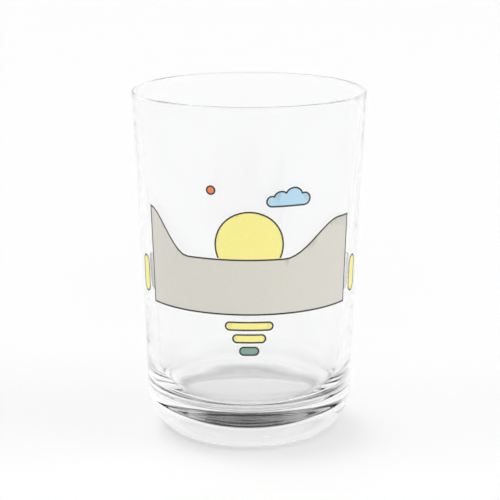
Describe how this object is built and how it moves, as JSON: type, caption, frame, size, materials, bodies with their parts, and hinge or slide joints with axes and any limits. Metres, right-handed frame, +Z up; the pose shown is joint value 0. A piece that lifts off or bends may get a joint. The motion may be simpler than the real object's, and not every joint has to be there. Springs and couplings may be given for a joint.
{
  "type": "drinking glass",
  "caption": "Clear heavy-based drinking glass, gently flared, with a rounded heel, a fire-polished lip and a flat-colour landscape printed on its front.",
  "frame": {"origin": "centre of the foot, in the plane that the glass stands on", "axes": "+Z up along the glass's axis, -Y towards the viewer of the print, +X to that viewer's right"},
  "size_m": [0.074, 0.074, 0.11],
  "materials": {
    "clear_glass": "clear pressed soda-lime glass, fire-polished",
    "white_ink": "cured flat-colour ink film, low sheen",
    "grey_ink": "cured flat-colour ink film, low sheen",
    "yellow_ink": "cured flat-colour ink film, low sheen",
    "blue_ink": "cured flat-colour ink film, low sheen",
    "orange_ink": "cured flat-colour ink film, low sheen",
    "green_ink": "cured flat-colour ink film, low sheen",
    "black_ink": "cured flat-colour ink film, low sheen"
  },
  "bodies": {
    "root": {"glass_tumbler": "clear_glass", "hills_white_base": "white_ink", "hills_grey_ink": "grey_ink", "hills_key_line": "black_ink", "sun_white_base": "white_ink", "sun_yellow_ink": "yellow_ink", "sun_key_line": "black_ink", "cloud_white_base": "white_ink", "cloud_blue_ink": "blue_ink", "cloud_key_line": "black_ink", "dot_white_base": "white_ink", "dot_orange_ink": "orange_ink", "dot_key_line": "black_ink", "upper_ripple_white_base": "white_ink", "upper_ripple_yellow_ink": "yellow_ink", "upper_ripple_key_line": "black_ink", "middle_ripple_white_base": "white_ink", "middle_ripple_yellow_ink": "yellow_ink", "middle_ripple_key_line": "black_ink", "lower_ripple_white_base": "white_ink", "lower_ripple_green_ink": "green_ink", "lower_ripple_key_line": "black_ink", "left_reed_white_base": "white_ink", "left_reed_yellow_ink": "yellow_ink", "left_reed_key_line": "black_ink", "right_reed_white_base": "white_ink", "right_reed_yellow_ink": "yellow_ink", "right_reed_key_line": "black_ink"}
  },
  "joints": []
}
